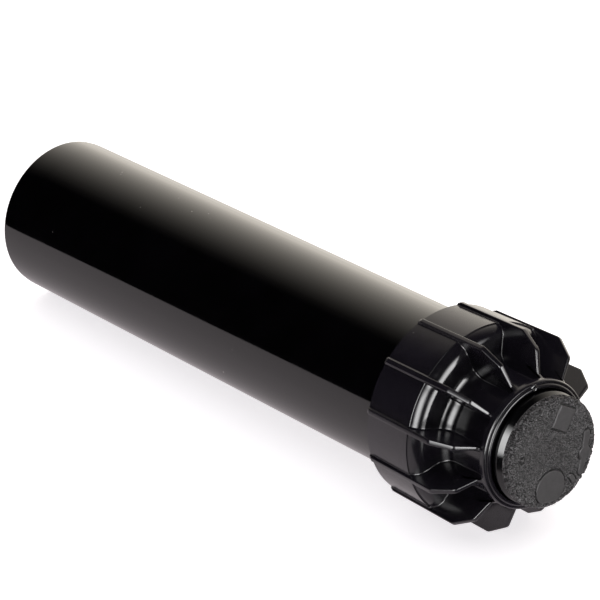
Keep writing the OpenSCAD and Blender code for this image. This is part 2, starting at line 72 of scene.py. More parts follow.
CAP_LOW, CAP_HIGH = box_in_mm("body_cap")
COVER_LOW, COVER_HIGH = box_in_mm("rubber_cover")
HOUSING_LOW, HOUSING_HIGH = box_in_mm("nozzle_housing")
TUBE_LOW, TUBE_HIGH = box_in_mm("riser_tube")
SPRING_LOW, SPRING_HIGH = box_in_mm("retraction_spring")
BYPASS_LOW, BYPASS_HIGH = box_in_mm("bypass_spring")

TOP_Z = COVER_HIGH.z
SKIRT_Z = CAP_LOW.z
COLLAR_Z = CAP_HIGH.z - 0.35
TURRET_R = HOUSING_HIGH.x
CASE_TOP_Z = box_in_mm("case_body")[1].z

# Case
CASE_R_BASE = 24.25
CASE_R_TOP = 25.15
CASE_BORE_R = 21.4
FLARE_Z = 183.0
FLOOR_Z = 15.5
BOSS_R = 13.6
INLET_R = 9.25
INLET_LEN = 13.0
THREAD_PITCH = 1.814
CASE_THREAD_R = 25.2
CASE_THREAD_DEPTH = 1.2
CASE_THREAD_HEIGHTS = (187.4, 191.4, 195.4)
SEAL_SEAT_R = 22.6
SEAL_SEAT_Z = 195.2
BASE_RIBS = 8
GUIDE_RIBS = 4
GUIDE_RIB_R = 18.5
GUIDE_RIB_TOP_Z = 190

# Cap
SKIRT_R = 29.4
NECK_R = 18.1
FIN_R = 31.0
FIN_T = 1.8
FIN_COUNT = 12
FIN_CORNER_Z = 209.0
FIN_EDGE = 0.42
ROOT_FILLET = 0.45
EDGE_ROUND = 4.1
EDGE_CENTRE = (25.4, 198.2)
NECK_FILLET = 4.4
NECK_LOW_Z = 207.0
COLLAR_R = 19.7
MOUTH_R = 17.25
SKIRT_GROOVE_Z = 199.1
WIPER_SEAT_R = 17.5
WIPER_SEAT_Z = 205.2
SEAL_ROOM_R = 22.4
SEAL_ROOM_Z = 199.6
CAP_BORE_R = 25.7
CAP_THREAD_R = 26.9
CAP_THREAD_HEIGHTS = (197.4, 193.4, 189.4)

# Nozzle housing, its cover and the riser tube
NOZZLE_AZ = -60.0
NOZZLE_TILT = 25.0
NOZZLE_Z = 209.5
SCREW_X = 12.4
ADJUSTER_AZ = NOZZLE_AZ + 165
ADJUSTER_DIST = 10.48
TURRET_Z = HOUSING_LOW.z
HOUSING_TOP_Z = HOUSING_HIGH.z
BODY_R = 16.3
HOUSING_ROOM_R = 14.3
COVER_FOOT_R = 15.7
COVER_R = 17.0
TUBE_R = 15.2
TUBE_BORE_R = 13.4
TUBE_FLANGE_R = 18.1

# Smooth raised marks of the cover: centres, and the radius or half width of each
PATCH_CENTRE = (9.6, -4.6)
PATCH_TURN = -33
PATCH_HALF = (3.5, 3.1)
PORT_CENTRE = (-4.4, -12.2)
PORT_R = 2.2
ARM_ENDS = ((1.6, -13.3, 1.1), (-9.6, -10.4, 1.0))
DOME_CENTRE = (-10.6, 1.4)
DOME_R = 5.4
DASH_ENDS = (-11.6, -7.6, -9.8, -6.6)
DASH_R = 0.7
DOT_CENTRE = (2.3, 11.7)
DOT_R = 0.6

# Springs: mean radius, wire and turns
RISER_COIL = (16.9, 1.4, 11)
BYPASS_COIL = (2.72, 0.4, 5)

# Camera: where it aims, and degrees from along the case to its side, above the table and of roll
CAMERA_AIM = (11.5, 1.7, 120)
CAMERA_HEADING = 39.2
CAMERA_ELEVATION = 27.95
CAMERA_ROLL = 2.2
CAMERA_DISTANCE = 1.33
CAMERA_LENS = 266.7

# Backdrop seen in reflections: it starts at this closeness to its middle, and brightens as a power of it
BACKDROP_HEADING = -120
BACKDROP_EDGE = 0.2
BACKDROP_PEAK = 2.1
BACKDROP_POWER = 1.7
BACKDROP_STEPS = 8


# ------------------------------------------------------------------ mesh helpers
def arc(cx, cz, r, a0, a1, n):
    """Points of an arc in the (radius, height) plane, both ends included, angles in degrees."""
    steps = [math.radians(a0 + (a1 - a0) * i / n) for i in range(n + 1)]
    return [(cx + r * math.cos(a), cz + r * math.sin(a)) for a in steps]


def line(p, q, n):
    """Points from p to q in n equal steps, without q."""
    return [(p[0] + (q[0] - p[0]) * i / n, p[1] + (q[1] - p[1]) * i / n) for i in range(n)]


def clean_mesh(name, verts, faces):
    """A mesh from millimetre points, with doubled points joined and its normals facing out."""
    mesh = bpy.data.meshes.new(name)
    mesh.from_pydata([(x * MM, y * MM, z * MM) for x, y, z in verts], [], faces)
    mesh.validate()
    work = bmesh.new()
    work.from_mesh(mesh)
    bmesh.ops.remove_doubles(work, verts=work.verts, dist=1e-7)
    bmesh.ops.recalc_face_normals(work, faces=work.faces)
    work.to_mesh(mesh)
    work.free()
    return mesh


def build(name, verts, faces, material, body, slot=None, stands_for=(), sharp=35, flat_faces=False):
    """A mesh piece from millimetre points, that rides on a body and stands for CAD nodes."""
    mesh = clean_mesh(name, verts, faces)
    mesh.shade_smooth()
    mesh.set_sharp_from_angle(angle=math.radians(sharp))
    piece = bpy.data.objects.new(name, mesh)
    bpy.context.scene.collection.objects.link(piece)
    mesh.materials.append(material)
    if flat_faces:
        weighted = piece.modifiers.new("weighted", "WEIGHTED_NORMAL")
        weighted.keep_sharp = True
        weighted.weight = 80
    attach(piece, body)
    if stands_for:
        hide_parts(*stands_for)
    return piece


def turned_faces(count, segments):
    """Quads between closed rings of count points, one ring after another all round."""
    faces = []
    for s in range(segments):
        t = (s + 1) % segments
        for i in range(count):
            j = (i + 1) % count
            faces.append((s * count + i, t * count + i, t * count + j, s * count + j))
    return faces


def lathe(profile, segments):
    """Vertices and quads of a closed profile of (radius, height) points turned about Z."""
    verts = []
    for s in range(segments):
        a = 2 * math.pi * s / segments
        c, d = math.cos(a), math.sin(a)
        verts += [(r * c, r * d, z) for r, z in profile]
    return verts, turned_faces(len(profile), segments)


def join_parts(*parts):
    """One list of vertices and faces from several."""
    verts, faces = [], []
    for more_verts, more_faces in parts:
        base = len(verts)
        verts += more_verts
        faces += [tuple(i + base for i in f) for f in more_faces]
    return verts, faces


def block(x0, x1, y0, y1, z0, z1, turn=0.0):
    """A box turned about Z by degrees."""
    a = math.radians(turn)
    corners = [(x, y, z) for x in (x0, x1) for y in (y0, y1) for z in (z0, z1)]
    verts = [(x * math.cos(a) - y * math.sin(a), x * math.sin(a) + y * math.cos(a), z) for x, y, z in corners]
    faces = [(0, 1, 3, 2), (4, 6, 7, 5), (0, 4, 5, 1), (2, 3, 7, 6), (0, 2, 6, 4), (1, 5, 7, 3)]
    return verts, faces


def coil(mean_r, wire, z0, z1, turns, per_turn=48, sides=12):
    """A wire wound from z0 to z1, with one closed turn at each end."""
    n = int(turns * per_turn)
    low, high, dead = z0 + wire / 2, z1 - wire / 2, wire * 1.04
    verts, faces = [], []
    for i in range(n + 1):
        t = i / per_turn
        if t < 1:
            z = low + dead * t
        elif t > turns - 1:
            z = high - dead * (turns - t)
        else:
            z = low + dead + (high - low - 2 * dead) * (t - 1) / (turns - 2)
        a = 2 * math.pi * t
        for j in range(sides):
            s = 2 * math.pi * j / sides
            r = mean_r + wire / 2 * math.cos(s)
            verts.append((r * math.cos(a), r * math.sin(a), z + wire / 2 * math.sin(s)))
    for i in range(n):
        for j in range(sides):
            k = (j + 1) % sides
            faces.append((i * sides + j, i * sides + k, (i + 1) * sides + k, (i + 1) * sides + j))
    faces.append(tuple(range(sides)))
    faces.append(tuple(n * sides + j for j in reversed(range(sides))))
    return verts, faces


# ------------------------------------------------------------------ materials
def new_material(name):
    """A material with its node tree, its Principled shader and its object coordinates."""
    material = bpy.data.materials.new(name)
    material.use_nodes = True
    tree = material.node_tree
    shader = tree.nodes["Principled BSDF"]
    coords = tree.nodes.new("ShaderNodeTexCoord")
    return material, tree, shader, coords


def add_noise(tree, coords, scale, detail=4.0, stretch=(1, 1, 1)):
    """Noise in object space, at a scale in cells per metre."""
    mapping = tree.nodes.new("ShaderNodeMapping")
    mapping.inputs["Scale"].default_value = stretch
    tree.links.new(coords.outputs["Object"], mapping.inputs["Vector"])
    texture = tree.nodes.new("ShaderNodeTexNoise")
    texture.inputs["Scale"].default_value = scale
    texture.inputs["Detail"].default_value = detail
    tree.links.new(mapping.outputs["Vector"], texture.inputs["Vector"])
    return texture.outputs["Fac"]


def add_ramp(tree, value, stops):
    """A colour ramp on a value, with (position, colour) stops. A number makes a grey."""
    ramp = tree.nodes.new("ShaderNodeValToRGB")
    elements = ramp.color_ramp.elements
    for i, (position, colour) in enumerate(stops):
        element = elements[i] if i < 2 else elements.new(position)
        element.position = position
        grey = isinstance(colour, (int, float))
        element.color = (colour, colour, colour, 1) if grey else (*colour, 1)
    tree.links.new(value, ramp.inputs["Fac"])
    return ramp.outputs["Color"]


def multiply(tree, first, second):
    """Two colours multiplied."""
    mix = tree.nodes.new("ShaderNodeMix")
    mix.data_type = "RGBA"
    mix.blend_type = "MULTIPLY"
    mix.inputs["Factor"].default_value = 1.0
    tree.links.new(first, mix.inputs["A"])
    tree.links.new(second, mix.inputs["B"])
    return mix.outputs["Result"]


def add_bump(tree, shader, height, strength, distance):
    """Bumps the shader's normal by a height, in metres."""
    bump = tree.nodes.new("ShaderNodeBump")
    bump.inputs["Strength"].default_value = strength
    bump.inputs["Distance"].default_value = distance
    tree.links.new(height, bump.inputs["Height"])
    old = shader.inputs["Normal"].links
    if old:
        tree.links.new(old[0].from_socket, bump.inputs["Normal"])
    tree.links.new(bump.outputs["Normal"], shader.inputs["Normal"])


def moulded(name, dark, light, rough=(0.08, 0.16), grain=0.0, specks=0.0, scratches=0.0):
    """Moulded plastic: slight mottling, uneven gloss, and if asked a fine skin, dust and scratches."""
    material, tree, shader, coords = new_material(name)
    shader.inputs["IOR"].default_value = 1.5
    cloud = add_noise(tree, coords, 90)
    colour = add_ramp(tree, cloud, [(0.35, dark), (0.7, light)])
    gloss = add_noise(tree, coords, 260, 3)
    rough_value = add_ramp(tree, gloss, [(0.35, rough[0]), (0.7, rough[1])])
    if specks:
        dots = tree.nodes.new("ShaderNodeTexVoronoi")
        dots.inputs["Scale"].default_value = 170
        dots.inputs["Randomness"].default_value = 1.0
        tree.links.new(coords.outputs["Object"], dots.inputs["Vector"])
        mask = add_ramp(tree, dots.outputs["Distance"], [(0.03, 1), (0.05, 0)])
        spread = add_ramp(tree, add_noise(tree, coords, 37, 1), [(0.5, 0), (0.62, specks)])
        both = tree.nodes.new("ShaderNodeMath")
        both.operation = "MULTIPLY"
        tree.links.new(mask, both.inputs[0])
        tree.links.new(spread, both.inputs[1])
        mix = tree.nodes.new("ShaderNodeMix")
        mix.data_type = "RGBA"
        mix.inputs["B"].default_value = (0.5, 0.48, 0.46, 1)
        tree.links.new(both.outputs[0], mix.inputs["Factor"])
        tree.links.new(colour, mix.inputs["A"])
        colour = mix.outputs["Result"]
    if scratches:
        lines = add_noise(tree, coords, 420, 2, (1, 1, 0.035))
        height = add_ramp(tree, lines, [(0.70, 0), (0.73, 1)])
        add_bump(tree, shader, height, scratches, 0.00002)
    if grain:
        add_bump(tree, shader, add_noise(tree, coords, 2600, 2), grain, 0.00004)
    tree.links.new(colour, shader.inputs["Base Color"])
    tree.links.new(rough_value, shader.inputs["Roughness"])
    return material


def rubber(name, dark, light, grain=0.4, scale=2200, painted_hollow_shade=False):
    """Rubber: matt, faintly mottled, with a fine grain, and if asked painted shade that darkens its hollows.
    """
    material, tree, shader, coords = new_material(name)
    shader.inputs["IOR"].default_value = 1.45
    shader.inputs["Sheen Weight"].default_value = 0.08
    shader.inputs["Sheen Roughness"].default_value = 0.5
    colour = add_ramp(tree, add_noise(tree, coords, 500), [(0.3, dark), (0.7, light)])
    if painted_hollow_shade:
        # painted shade: the colour goes dark where the surface is concave, in grooves and hollows, and is
        # left as it is on crests
        shape = tree.nodes.new("ShaderNodeNewGeometry")
        hollow_shade_stops = [(0.44, 0.0), (0.485, 0.12), (0.505, 0.62), (0.54, 1.0)]
        colour = multiply(tree, colour, add_ramp(tree, shape.outputs["Pointiness"], hollow_shade_stops))
    tree.links.new(colour, shader.inputs["Base Color"])
    tree.links.new(add_ramp(tree, add_noise(tree, coords, 900), [(0.3, 0.45), (0.7, 0.62)]),
                   shader.inputs["Roughness"])
    add_bump(tree, shader, add_noise(tree, coords, scale, 5), grain, 0.00008)
    return material


def metal(name, dark, light, rough=(0.2, 0.35), stretch=(1, 1, 8)):
    """Drawn or turned metal, with fine lines across its length."""
    material, tree, shader, coords = new_material(name)
    shader.inputs["Metallic"].default_value = 1.0
    tree.links.new(add_ramp(tree, add_noise(tree, coords, 700), [(0.3, dark), (0.7, light)]),
                   shader.inputs["Base Color"])
    gloss = add_noise(tree, coords, 1500, 2, stretch)
    tree.links.new(add_ramp(tree, gloss, [(0.3, rough[0]), (0.7, rough[1])]), shader.inputs["Roughness"])
    add_bump(tree, shader, add_noise(tree, coords, 1800, 2, stretch), 0.15, 0.00002)
    return material


BLACK = (0.0009, 0.0008, 0.001)
MATERIALS = {
    "case_plastic": moulded("case_plastic", BLACK, (0.0016, 0.0014, 0.002), (0.05, 0.085), 0.03, 0.5, 0.15),
    "cap_plastic": moulded("cap_plastic", (0.0095, 0.0082, 0.012), (0.013, 0.0112, 0.0165), (0.14, 0.22),
                           0.05, 0.3),
    "turret_plastic": moulded("turret_plastic", (0.002, 0.002, 0.0024), (0.003, 0.003, 0.0036), (0.1, 0.15),
                              0.04),
    # the cover's rubber has painted shade in its hollows
    "cover_rubber": rubber("cover_rubber", (0.04, 0.035, 0.038), (0.06, 0.053, 0.057), 0.5, 1500, True),
    "seal_rubber": rubber("seal_rubber", (0.012, 0.012, 0.012), (0.02, 0.02, 0.02), 0.2),
    "grey_plastic": moulded("grey_plastic", (0.17, 0.175, 0.19), (0.22, 0.225, 0.24), (0.3, 0.42), 0.1),
    "white_plastic": moulded("white_plastic", (0.66, 0.65, 0.59), (0.76, 0.75, 0.7), (0.28, 0.4), 0.1),
    "blue_plastic": moulded("blue_plastic", (0.02, 0.07, 0.24), (0.03, 0.095, 0.3), (0.25, 0.36), 0.1),
    "steel": metal("steel", (0.5, 0.51, 0.53), (0.66, 0.67, 0.69)),
    "brass": metal("brass", (0.66, 0.45, 0.18), (0.8, 0.6, 0.28), (0.22, 0.36)),
}


# ------------------------------------------------------------------ case
def make_case():
    """Case: tapered tube with a rounded base rim, cap thread, inner ribs, ribbed base and threaded inlet."""
    outer = line((CASE_BORE_R, 0), (CASE_R_BASE - 1.0, 0), 2)
    outer += arc(CASE_R_BASE - 1.1, 0.9, 0.9, -90, 0, 8) + [(CASE_R_BASE - 0.2, 2.1), (CASE_R_BASE, 2.35)]
    outer += line((CASE_R_BASE + 0.01, 2.6), (CASE_R_TOP, FLARE_Z), 24)
    root, crest = CASE_THREAD_R, CASE_THREAD_R + CASE_THREAD_DEPTH
    outer += [(CASE_R_TOP, FLARE_Z), (root, FLARE_Z + 3)]
    for z in CASE_THREAD_HEIGHTS:
        outer += [(root, z - 1.3), (crest, z - 0.6), (crest, z + 0.6), (root, z + 1.3)]
    outer += [(root, CASE_TOP_Z - 1.2), (root - 1.2, CASE_TOP_Z), (SEAL_SEAT_R, CASE_TOP_Z),
              (SEAL_SEAT_R, SEAL_SEAT_Z), (CASE_BORE_R, SEAL_SEAT_Z)]
    parts = [lathe(outer, 256)]
    floor = [(BOSS_R - 0.6, 0), (BOSS_R, 0.6), (BOSS_R, FLOOR_Z - 2.9), (BOSS_R + 0.5, FLOOR_Z - 2.4),
             (CASE_BORE_R + 0.5, FLOOR_Z - 2.4), (CASE_BORE_R + 0.5, FLOOR_Z), (10.9, FLOOR_Z),
             (10.7, FLOOR_Z + 0.5), (9.3, FLOOR_Z + 0.5), (9.1, FLOOR_Z), (8.0, FLOOR_Z), (8.0, INLET_LEN)]
    parts.append(inlet_boss(floor))
    for i in range(BASE_RIBS):
        turn = 360 / BASE_RIBS * (i + 0.5)
        parts.append(block(BOSS_R - 0.4, CASE_BORE_R + 0.4, -0.9, 0.9, 1.5, FLOOR_Z - 1, turn))
    for i in range(GUIDE_RIBS):
        turn = 360 / GUIDE_RIBS * i
        parts.append(block(GUIDE_RIB_R, CASE_BORE_R + 0.6, -1, 1, FLOOR_Z - 0.5, GUIDE_RIB_TOP_Z, turn))
    return build("case_shell", *join_parts(*parts), MATERIALS["case_plastic"], "case", "case_plastic",
                 ["case_body"], sharp=30)


def inlet_boss(floor, segments=96, rows=84):
    """Boss with a helical pipe thread in it: its groove is cut to a depth that follows the helix."""
    verts = []
    for s in range(segments):
        turn = s / segments
        a = 2 * math.pi * turn
        ring = list(floor)
        for i in range(rows):
            z = INLET_LEN * (1 - i / (rows - 1))
            phase = (z / THREAD_PITCH - turn) % 1.0
            groove = max(0.0, 1 - abs(phase - 0.5) / 0.36)
            fade = min(1.0, z / 1.2, (INLET_LEN - z) / 1.2)
            ring.append((INLET_R + 1.1 * min(groove, 0.9) * fade, z))
        verts += [(r * math.cos(a), r * math.sin(a), z) for r, z in ring]
    return verts, turned_faces(len(floor) + rows, segments)


# ------------------------------------------------------------------ cap
def cap_profile():
    """Outer and inner outline of the cap between its fins, and how many of its points the fins cover."""
    groove = SKIRT_GROOVE_Z
    outer = line((SKIRT_R, SKIRT_Z), (SKIRT_R + 0.45, groove), 8)
    outer += [(SKIRT_R + 0.45, groove), (SKIRT_R + 0.42, groove + 0.12), (SKIRT_R + 0.05, groove + 0.06),
              (SKIRT_R - 0.02, groove + 0.12)]
    outer += arc(*EDGE_CENTRE, EDGE_ROUND, 16, 84, 16)
    outer += arc(NECK_R + NECK_FILLET, NECK_LOW_Z, NECK_FILLET, 264, 182, 16)
    outer += line((NECK_R, NECK_LOW_Z), (NECK_R, COLLAR_Z - 3.3), 8)
    outer += arc(NECK_R + 0.9, COLLAR_Z - 3.3, 0.9, 180, 120, 4)
    outer += arc(COLLAR_R - 0.5, COLLAR_Z - 2.1, 0.5, -60, 0, 3)
    covered = len(outer) - 1
    outer += arc(COLLAR_R - 1.0, COLLAR_Z - 1.15, 1.0, 0, 52, 8)
    outer += [(COLLAR_R - 0.44, COLLAR_Z - 0.34), (MOUTH_R + 1.38, COLLAR_Z - 0.32)]
    outer += arc(MOUTH_R + 0.65, COLLAR_Z - 0.5, 0.7, 15, 90, 9)
    outer += arc(MOUTH_R + 0.3, COLLAR_Z - 0.1, 0.3, 90, 180, 5)
    ledge = CASE_TOP_Z + 0.05
    inner = [(MOUTH_R, COLLAR_Z - 2.5), (MOUTH_R, WIPER_SEAT_Z), (WIPER_SEAT_R, WIPER_SEAT_Z),
             (WIPER_SEAT_R, ledge), (SEAL_ROOM_R, ledge), (SEAL_ROOM_R, SEAL_ROOM_Z),
             (CAP_BORE_R - 0.4, SEAL_ROOM_Z), (CAP_BORE_R, SEAL_ROOM_Z - 0.4)]
    for turn, z in enumerate(CAP_THREAD_HEIGHTS):
        above = CAP_THREAD_R if turn else CAP_BORE_R
        inner += [(above, z + 1.1), (CAP_BORE_R, z + 0.5), (CAP_BORE_R, z - 0.5), (CAP_THREAD_R, z - 1.1)]
    inner += [(CAP_THREAD_R, SKIRT_Z)]
    return outer, inner, covered


def outward(points):
    """Unit normals of an open outline, pointing out of the part."""
    normals = []
    for i in range(len(points)):
        a, b = points[max(0, i - 1)], points[min(len(points) - 1, i + 1)]
        dr, dz = b[0] - a[0], b[1] - a[1]
        length = math.hypot(dr, dz) or 1.0
        normals.append((dz / length, -dr / length))
    return normals


def make_cap():
    """Cap as one closed mesh: bays between fins, fillets at the fins' roots, flat walls, rounded edges."""
    outer, inner, covered = cap_profile()
    normals = outward(outer)
    fillet_steps, edge_steps, bay_steps = 5, 4, 12
    end_r, end_z = outer[covered]
    corner_r = 0.45
    fin_line = arc(FIN_R - 1.0, SKIRT_Z + 0.9, 0.4, -90, 0, 4)
    fin_line[0] = (FIN_R - 1.0, SKIRT_Z)
    fin_line += line((FIN_R - 0.6, SKIRT_Z + 1.0), (FIN_R, FIN_CORNER_Z - corner_r), 8)
    fin_line += [(FIN_R, FIN_CORNER_Z - corner_r), (FIN_R - 0.1, FIN_CORNER_Z + 0.15),
                 (FIN_R - 0.35, FIN_CORNER_Z + 0.6), (27.55, 214.95), (27.3, 215.32), (27.02, 215.6),
                 (26.7, 215.8), (26.3, 215.95)]
    fin_line += line((26.3, 215.95), (20.3, 217.8), 4)[1:]
    fin_line += [(20.3, 217.8), (20.22, 218.15), (20.0, 218.6), (end_r, end_z)]
    line_normals = outward(fin_line)
    line_normals[0] = (1, 0)

    verts, faces, index = [], [], {}

    def point(key, x, y, z, turn):
        """Adds a vertex once per key, given in the frame of the fin at angle turn."""
        if key not in index:
            index[key] = len(verts)
            c, d = math.cos(turn), math.sin(turn)
            verts.append((x * c - y * d, x * d + y * c, z))
        return index[key]

    def on_ring(key, r, z, y, turn):
        return point(key, math.sqrt(max(r * r - y * y, 0)), y, z, turn)

    spans = []
    for i in range(edge_steps + 1):
        a = math.radians(90 * i / edge_steps)
        spans.append((FIN_EDGE * (math.cos(a) - 1), FIN_EDGE * (1 - math.sin(a))))
    # spans: (sideways from the wall, inset from the outer face)
    pitch = 2 * math.pi / FIN_COUNT

    def half_width(r):
        """Half of a fin's thickness at a radius: it thins towards the neck."""
        return FIN_T / 2 - 0.024 * (FIN_R - r)

    def fin_angle(k):
        return pitch * (k % FIN_COUNT) + pitch / 2

    def root(v, k, side, i):
        """Point i of the fillet of fin k, from the wall (0) to the bay (fillet_steps)."""
        a = math.radians(90 * (1 - i / fillet_steps))
        fade = max(0.0, min(1.0, (covered - v) / 4))
        y = side * (half_width(outer[v][0]) + ROOT_FILLET * (1 - math.sin(a)))
        lift = ROOT_FILLET * (1 - math.cos(a)) * fade
        r, z = outer[v][0] + lift * normals[v][0], outer[v][1] + lift * normals[v][1]
        if v == 0:
            z = outer[0][1]
        return on_ring(("root", v, k % FIN_COUNT, side, i), r, z, y, fin_angle(k))

    def bay(v, k, u):
        """Point u of the bay after fin k."""
        r, z = outer[v] if v < len(outer) else inner[v - len(outer)]
        edge = math.asin((half_width(r) + ROOT_FILLET) / r)
        a = fin_angle(k) + edge + (pitch - 2 * edge) * u / bay_steps
        return point(("bay", v, k % FIN_COUNT, u), r, 0, z, a)

    def across(v, k, side, i):
        """Point i of a ring over fin k, from its wall (0) to its outer face (edge_steps), then its middle."""
        r, z = outer[v] if v < len(outer) else inner[v - len(outer)]
        y = 0.0 if i > edge_steps else side * (half_width(r) + spans[i][0])
        name = 0 if i > edge_steps else side
        return on_ring(("over", v, k % FIN_COUNT, name, i), r, z, y, fin_angle(k))

    def edge_point(w, k, side, i):
        """Point i of the fin's rounded outer edge at step w of its outline."""
        if w == len(fin_line) - 1:
            return across(covered, k, side, i)
        (r, z), (nr, nz) = fin_line[w], line_normals[w]
        inset = 0.0 if i > edge_steps else spans[i][1]
        y = 0.0 if i > edge_steps else side * (half_width(r) + spans[i][0])
        name = 0 if i > edge_steps else side
        return point(("edge", w, k % FIN_COUNT, name, i), r - inset * nr, y, z - inset * nz, fin_angle(k))

    def sector(v, k, full):
        """Chain of points at ring v from the middle of fin k (or its wall) to the next fin."""
        chain = [across(v, k, 1, i) for i in range(edge_steps + 1, 0, -1)] if full else []
        foot = root if v < len(outer) else root_inside
        chain += [foot(v, k, 1, i) for i in range(fillet_steps)]
        chain += [bay(v, k, u) for u in range(bay_steps + 1)]
        chain += [foot(v, k + 1, -1, i) for i in range(fillet_steps - 1, -1, -1)]
        chain += [across(v, k + 1, -1, i) for i in range(1, edge_steps + 2)] if full else []
        return chain

    def root_inside(v, k, side, i):
        a = math.radians(90 * (1 - i / fillet_steps))
        r, z = inner[v - len(outer)]
        y = side * (half_width(r) + ROOT_FILLET * (1 - math.sin(a)))
        return on_ring(("in", v, k % FIN_COUNT, side, i), r, z, y, fin_angle(k))

    total = len(outer) + len(inner)
    for k in range(FIN_COUNT):
        for v in range(total - 1):
            full = v >= covered
            low, high = sector(v, k, full), sector(v + 1, k, full)
            faces += [(low[i], low[i + 1], high[i + 1], high[i]) for i in range(len(low) - 1)]
        for w in range(len(fin_line) - 1):
            for side in (1, -1):
                for i in range(edge_steps + 1):
                    quad = (edge_point(w, k, side, i), edge_point(w, k, side, i + 1),
                            edge_point(w + 1, k, side, i + 1), edge_point(w + 1, k, side, i))
                    faces.append(quad)
        for side in (1, -1):
            wall = [root(v, k, side, 0) for v in range(covered + 1)]
            wall += [edge_point(w, k, side, 0) for w in range(len(fin_line) - 2, -1, -1)]
            faces.append(tuple(wall))
        back = [edge_point(0, k, 1, i) for i in range(edge_steps + 1, -1, -1)] + sector(0, k, False)
        back += [edge_point(0, k + 1, -1, i) for i in range(edge_steps + 2)]
        back += reversed(sector(total - 1, k, True))
        faces.append(tuple(back))
    faces = [tuple(dict.fromkeys(f)) for f in faces]
    faces = [f for f in faces if len(f) > 2]
    pip = lathe([(0, COLLAR_Z - 0.9), (1.1, COLLAR_Z - 0.9), (1.1, COLLAR_Z + 0.1), (0.98, COLLAR_Z + 0.28),
                 (0.8, COLLAR_Z + 0.34), (0.62, COLLAR_Z + 0.26), (0.5, COLLAR_Z), (0, COLLAR_Z)], 40)
    pip = ([(x + MOUTH_R + 1.2, y, z) for x, y, z in pip[0]], pip[1])
    return build("cap_shell", *join_parts((verts, faces), pip), MATERIALS["cap_plastic"], "case",
                 "cap_plastic", ["body_cap"], sharp=32, flat_faces=True)


# ------------------------------------------------------------------ turret
def mesh_from(verts, faces):
    """A bare mesh object with its normals facing out, to cut with or to cut."""
    shape = bpy.data.objects.new("shape", clean_mesh("shape", verts, faces))
    bpy.context.scene.collection.objects.link(shape)
    return shape


def rod(r, z0, z1, x=0.0, y=0.0, segments=96):
    """A plain upright cylinder."""
    verts, faces = lathe([(0, z0), (r, z0), (r, z1), (0, z1)], segments)
    return [(a + x, b + y, c) for a, b, c in verts], faces


def carve(name, base, steps, material, body, slot, stands_for, sharp=30):
    """Adds to and cuts from a base shape. Steps are (operation, (verts, faces), matrix or None)."""
    shape = mesh_from(*base)
    for operation, (verts, faces), matrix in steps:
        tool = mesh_from(verts, faces)
        if matrix is not None:
            tool.matrix_world = matrix
        change = shape.modifiers.new("change", "BOOLEAN")
        change.operation = operation
        change.solver = "EXACT"
        change.object = tool
        graph = bpy.context.evaluated_depsgraph_get()
        changed = bpy.data.meshes.new_from_object(shape.evaluated_get(graph))
        shape.modifiers.clear()
        shape.data = changed
        bpy.data.objects.remove(tool)
    points = [tuple(c / MM for c in v.co) for v in shape.data.vertices]
    polygons = [tuple(p.vertices) for p in shape.data.polygons]
    bpy.data.objects.remove(shape)
    return build(name, points, polygons, material, body, slot, stands_for, sharp, flat_faces=True)


def around(radius, azimuth):
    a = math.radians(azimuth)
    return radius * math.cos(a), radius * math.sin(a)


def nozzle_frame():
    """Where the nozzle sits: its own Z runs out along the jet."""
    turn = Matrix.Rotation(math.radians(NOZZLE_AZ), 4, "Z")
    tilt = Matrix.Rotation(math.radians(90 - NOZZLE_TILT), 4, "Y")
    return turn @ Matrix.Translation((0, 0, NOZZLE_Z * MM)) @ tilt


def make_housing():
    """Nozzle housing: a hollow drum with a rim at its top, the nozzle's port and both adjusters' holes."""
    rim = HOUSING_TOP_Z - 2.3
    drum = line((0, TURRET_Z), (BODY_R - 0.3, TURRET_Z), 2)
    drum += arc(BODY_R - 0.3, TURRET_Z + 0.3, 0.3, -90, 0, 3)
    drum += line((BODY_R, TURRET_Z + 0.4), (BODY_R, rim), 4) + [(BODY_R, rim), (BODY_R + 0.55, rim)]
    drum += [(TURRET_R, rim + 0.15)] + line((TURRET_R, rim + 0.2), (TURRET_R, rim + 0.8), 2)
    drum += arc(TURRET_R - 0.3, rim + 0.8, 0.3, 0, 28, 3) + [(COVER_FOOT_R + 0.2, HOUSING_TOP_Z + 0.45)]
    drum += [(COVER_FOOT_R + 0.05, HOUSING_TOP_Z + 0.5), (COVER_FOOT_R + 0.05, HOUSING_TOP_Z)]
    drum += line((COVER_FOOT_R, HOUSING_TOP_Z), (0, HOUSING_TOP_Z), 2) + [(0, HOUSING_TOP_Z)]
    jet = nozzle_frame()
    ax, ay = around(ADJUSTER_DIST, ADJUSTER_AZ)
    sx, sy = around(SCREW_X, NOZZLE_AZ)
    steps = [
        ("DIFFERENCE", rod(HOUSING_ROOM_R, TURRET_Z - 1, 207.4, segments=160), None),
        ("DIFFERENCE", rod(HOUSING_ROOM_R, 209.4, 221.4, segments=160), None),
        ("UNION", rod(6, TURRET_Z, 213), None),
        ("UNION", rod(5, 2, 15.5), jet),
        ("UNION", rod(2.9, 207, 221.6, ax, ay), None),
        ("DIFFERENCE", rod(4.6, TURRET_Z - 1, 211), None),
        ("DIFFERENCE", rod(3.4, TURRET_Z, 211.6), None),
        ("DIFFERENCE", rod(3.6, 4, 24), jet),
        ("DIFFERENCE", rod(2.6, 0.5, 6), jet),
        ("DIFFERENCE", rod(1.56, 206.4, 226, ax, ay, 48), None),
        ("DIFFERENCE", rod(1.28, 214, 226, sx, sy, 48), None),
    ]
    carve("turret_housing", lathe(drum, 224), steps, MATERIALS["turret_plastic"], "turret", "turret_plastic",
          ["nozzle_housing"])


